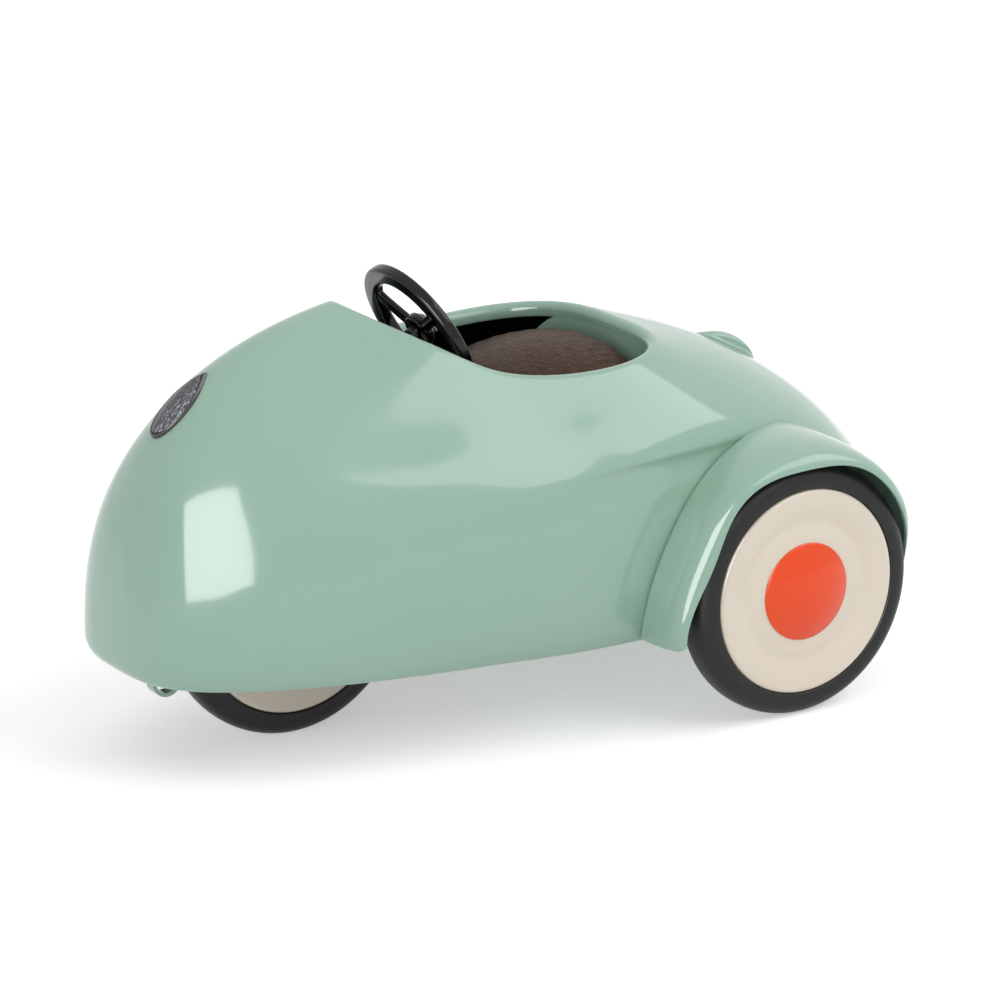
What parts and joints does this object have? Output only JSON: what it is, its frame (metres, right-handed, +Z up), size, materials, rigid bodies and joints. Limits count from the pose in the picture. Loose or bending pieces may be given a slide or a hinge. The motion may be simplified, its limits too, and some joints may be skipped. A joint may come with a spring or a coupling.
{
  "type": "pedal car",
  "caption": "Streamlined toy pedal car in enamelled sheet steel: closed nose, open cockpit with padded seat, steered front wheel under the nose and covered rear wheels.",
  "frame": {"origin": "on the ground, under the middle of the car's bounding box", "axes": "+X to the car's left, +Y towards the tail, +Z up"},
  "size_m": [0.0938, 0.162, 0.0827],
  "materials": {
    "green_enamel": "gloss",
    "cream_enamel": "gloss",
    "orange_enamel": "gloss",
    "black_enamel": "gloss",
    "lamp_silver": "satin silver over a dark ground",
    "lamp_edge": "satin",
    "tyre_rubber": "matt",
    "seat_leathercloth": "grained, semi-matt",
    "steel": "bright",
    "brass": "turned"
  },
  "bodies": {
    "body": {"axle_cradle": "steel", "axle_nut_left": "steel", "axle_nut_right": "steel", "axle_spacer_left": "steel", "axle_spacer_right": "steel", "body_shell": "green_enamel", "column_bridge": "green_enamel", "column_bush": "brass", "floor_angles": "steel", "floor_pan": "green_enamel", "floor_rivets": "steel", "fork_bush": "brass", "front_bridge": "green_enamel", "headlight_bezel": "lamp_edge", "headlight_lens": "lamp_silver", "nose_plate": "green_enamel", "rear_axle": "steel", "seat_cushion": "seat_leathercloth", "seat_pan": "green_enamel", "tail_lamp_housing": "green_enamel", "tow_loop": "green_enamel", "tub_wall": "green_enamel", "wheel_cover_left": "green_enamel", "wheel_cover_right": "green_enamel"},
    "rear_wheel_left": {"rear_tyre_left": "tyre_rubber", "rear_disc_outer_left": "cream_enamel", "rear_disc_inner_left": "cream_enamel", "rear_hub_left": "steel", "hub_cap_left": "orange_enamel"},
    "rear_wheel_right": {"rear_tyre_right": "tyre_rubber", "rear_disc_outer_right": "cream_enamel", "rear_disc_inner_right": "cream_enamel", "rear_hub_right": "steel", "hub_cap_right": "orange_enamel"},
    "fork": {"front_fork": "steel", "king_pin": "steel", "tiller": "steel", "king_nut": "steel", "fork_washer": "steel", "front_axle": "steel", "front_nuts": "steel", "front_spacers": "steel"},
    "front_wheel": {"front_tyre": "tyre_rubber", "front_disc_left": "cream_enamel", "front_disc_right": "cream_enamel", "front_hub": "steel"},
    "steering": {"steering_wheel": "black_enamel", "hub_button": "black_enamel", "steering_column": "black_enamel", "column_collar": "black_enamel", "column_crank": "black_enamel"}
  },
  "joints": [
    {"name": "rear_left_spin", "type": "hinge", "parent": "body", "child": "rear_wheel_left", "pos_m": [0.041, 0.0372, 0.0236], "axis": [1, 0, 0], "continuous": true},
    {"name": "rear_right_spin", "type": "hinge", "parent": "body", "child": "rear_wheel_right", "pos_m": [-0.041, 0.0372, 0.0236], "axis": [1, 0, 0], "continuous": true},
    {"name": "steering_turn", "type": "hinge", "parent": "body", "child": "steering", "pos_m": [0, -0.0166, 0.0709], "axis": [0, 0.8746, 0.4848], "range_deg": [-50, 50]},
    {"name": "fork_swivel", "type": "hinge", "parent": "body", "child": "fork", "pos_m": [0, -0.045, 0.05], "axis": [0, 0, 1], "range_deg": [-20, 20]},
    {"name": "front_spin", "type": "hinge", "parent": "fork", "child": "front_wheel", "pos_m": [0, -0.045, 0.0236], "axis": [1, 0, 0], "continuous": true}
  ],
  "couplings": [
    {"joint": "fork_swivel", "follows": "steering_turn", "ratio": 0.4}
  ]
}
